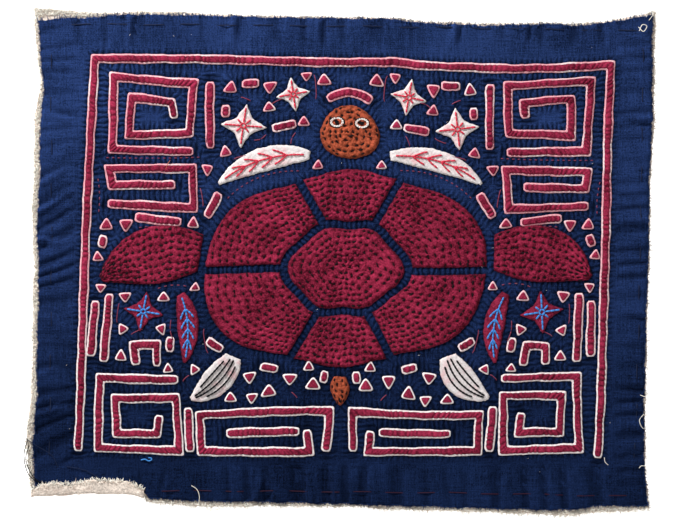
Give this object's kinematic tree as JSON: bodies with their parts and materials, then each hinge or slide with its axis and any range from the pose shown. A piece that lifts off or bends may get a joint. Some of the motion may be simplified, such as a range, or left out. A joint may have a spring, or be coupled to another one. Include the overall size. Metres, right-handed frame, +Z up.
{
  "type": "mola panel",
  "caption": "Rectangular mola panel of layered cotton: cut, turned and stitched bands, spirals, stars and a turtle on a navy ground over a cream backing.",
  "frame": {"origin": "centre of the panel's outline, on the surface it lies on", "axes": "+X to the right along the panel's long side, +Y to its top edge, +Z up, out of its sewn face"},
  "size_m": [0.414, 0.3338, 0.0052],
  "materials": {
    "backing": "undyed cream plain-weave cotton, frayed raw edges",
    "navy": "navy plain-weave cotton, matt, creased",
    "edging": "pale pink cotton, folded edge",
    "maroon": "maroon cotton, dented by hand stitches",
    "crimson": "crimson cotton, closely quilted with black running stitches",
    "orange": "orange-brown cotton, closely quilted with black running stitches",
    "white": "white cotton with faint pink stains, embroidered"
  },
  "bodies": {
    "root": {"backing": "backing", "ground": "navy", "shell_middle": "crimson", "head": "orange", "tail": "orange", "shell_plate_1": "crimson", "shell_plate_2": "crimson", "shell_plate_3": "crimson", "shell_plate_4": "crimson", "shell_plate_5": "crimson", "shell_plate_6": "crimson", "front_flipper_left": "crimson", "front_flipper_right": "crimson", "hind_flipper_left": "white", "hind_flipper_right": "white", "leaf_upper_left": "white", "leaf_upper_right": "white", "leaf_side_left": "maroon", "leaf_side_right": "maroon", "star_large_left": "white", "star_large_right": "white", "star_small_left": "white", "star_small_right": "white", "star_side_left": "maroon", "star_side_right": "maroon", "frame_edging": "edging", "frame_band": "maroon", "spiral_top_left_edging": "edging", "spiral_top_left_band": "maroon", "spiral_top_right_edging": "edging", "spiral_top_right_band": "maroon", "spiral_bottom_left_edging": "edging", "spiral_bottom_left_band": "maroon", "spiral_bottom_right_edging": "edging", "spiral_bottom_right_band": "maroon", "key_bottom_left_edging": "edging", "key_bottom_left_band": "maroon", "key_bottom_right_edging": "edging", "key_bottom_right_band": "maroon", "key_side_left_edging": "edging", "key_side_left_band": "maroon", "key_side_right_edging": "edging", "key_side_right_band": "maroon", "bar_top_left_edging": "edging", "bar_top_left_band": "maroon", "bar_top_right_edging": "edging", "bar_top_right_band": "maroon", "bar_side_left_edging": "edging", "bar_side_left_band": "maroon", "bar_side_right_edging": "edging", "bar_side_right_band": "maroon", "bar_key_left_edging": "edging", "bar_key_left_band": "maroon", "bar_key_right_edging": "edging", "bar_key_right_band": "maroon", "arch_side_left_edging": "edging", "arch_side_left_band": "maroon", "arch_side_right_edging": "edging", "arch_side_right_band": "maroon"}
  },
  "joints": []
}
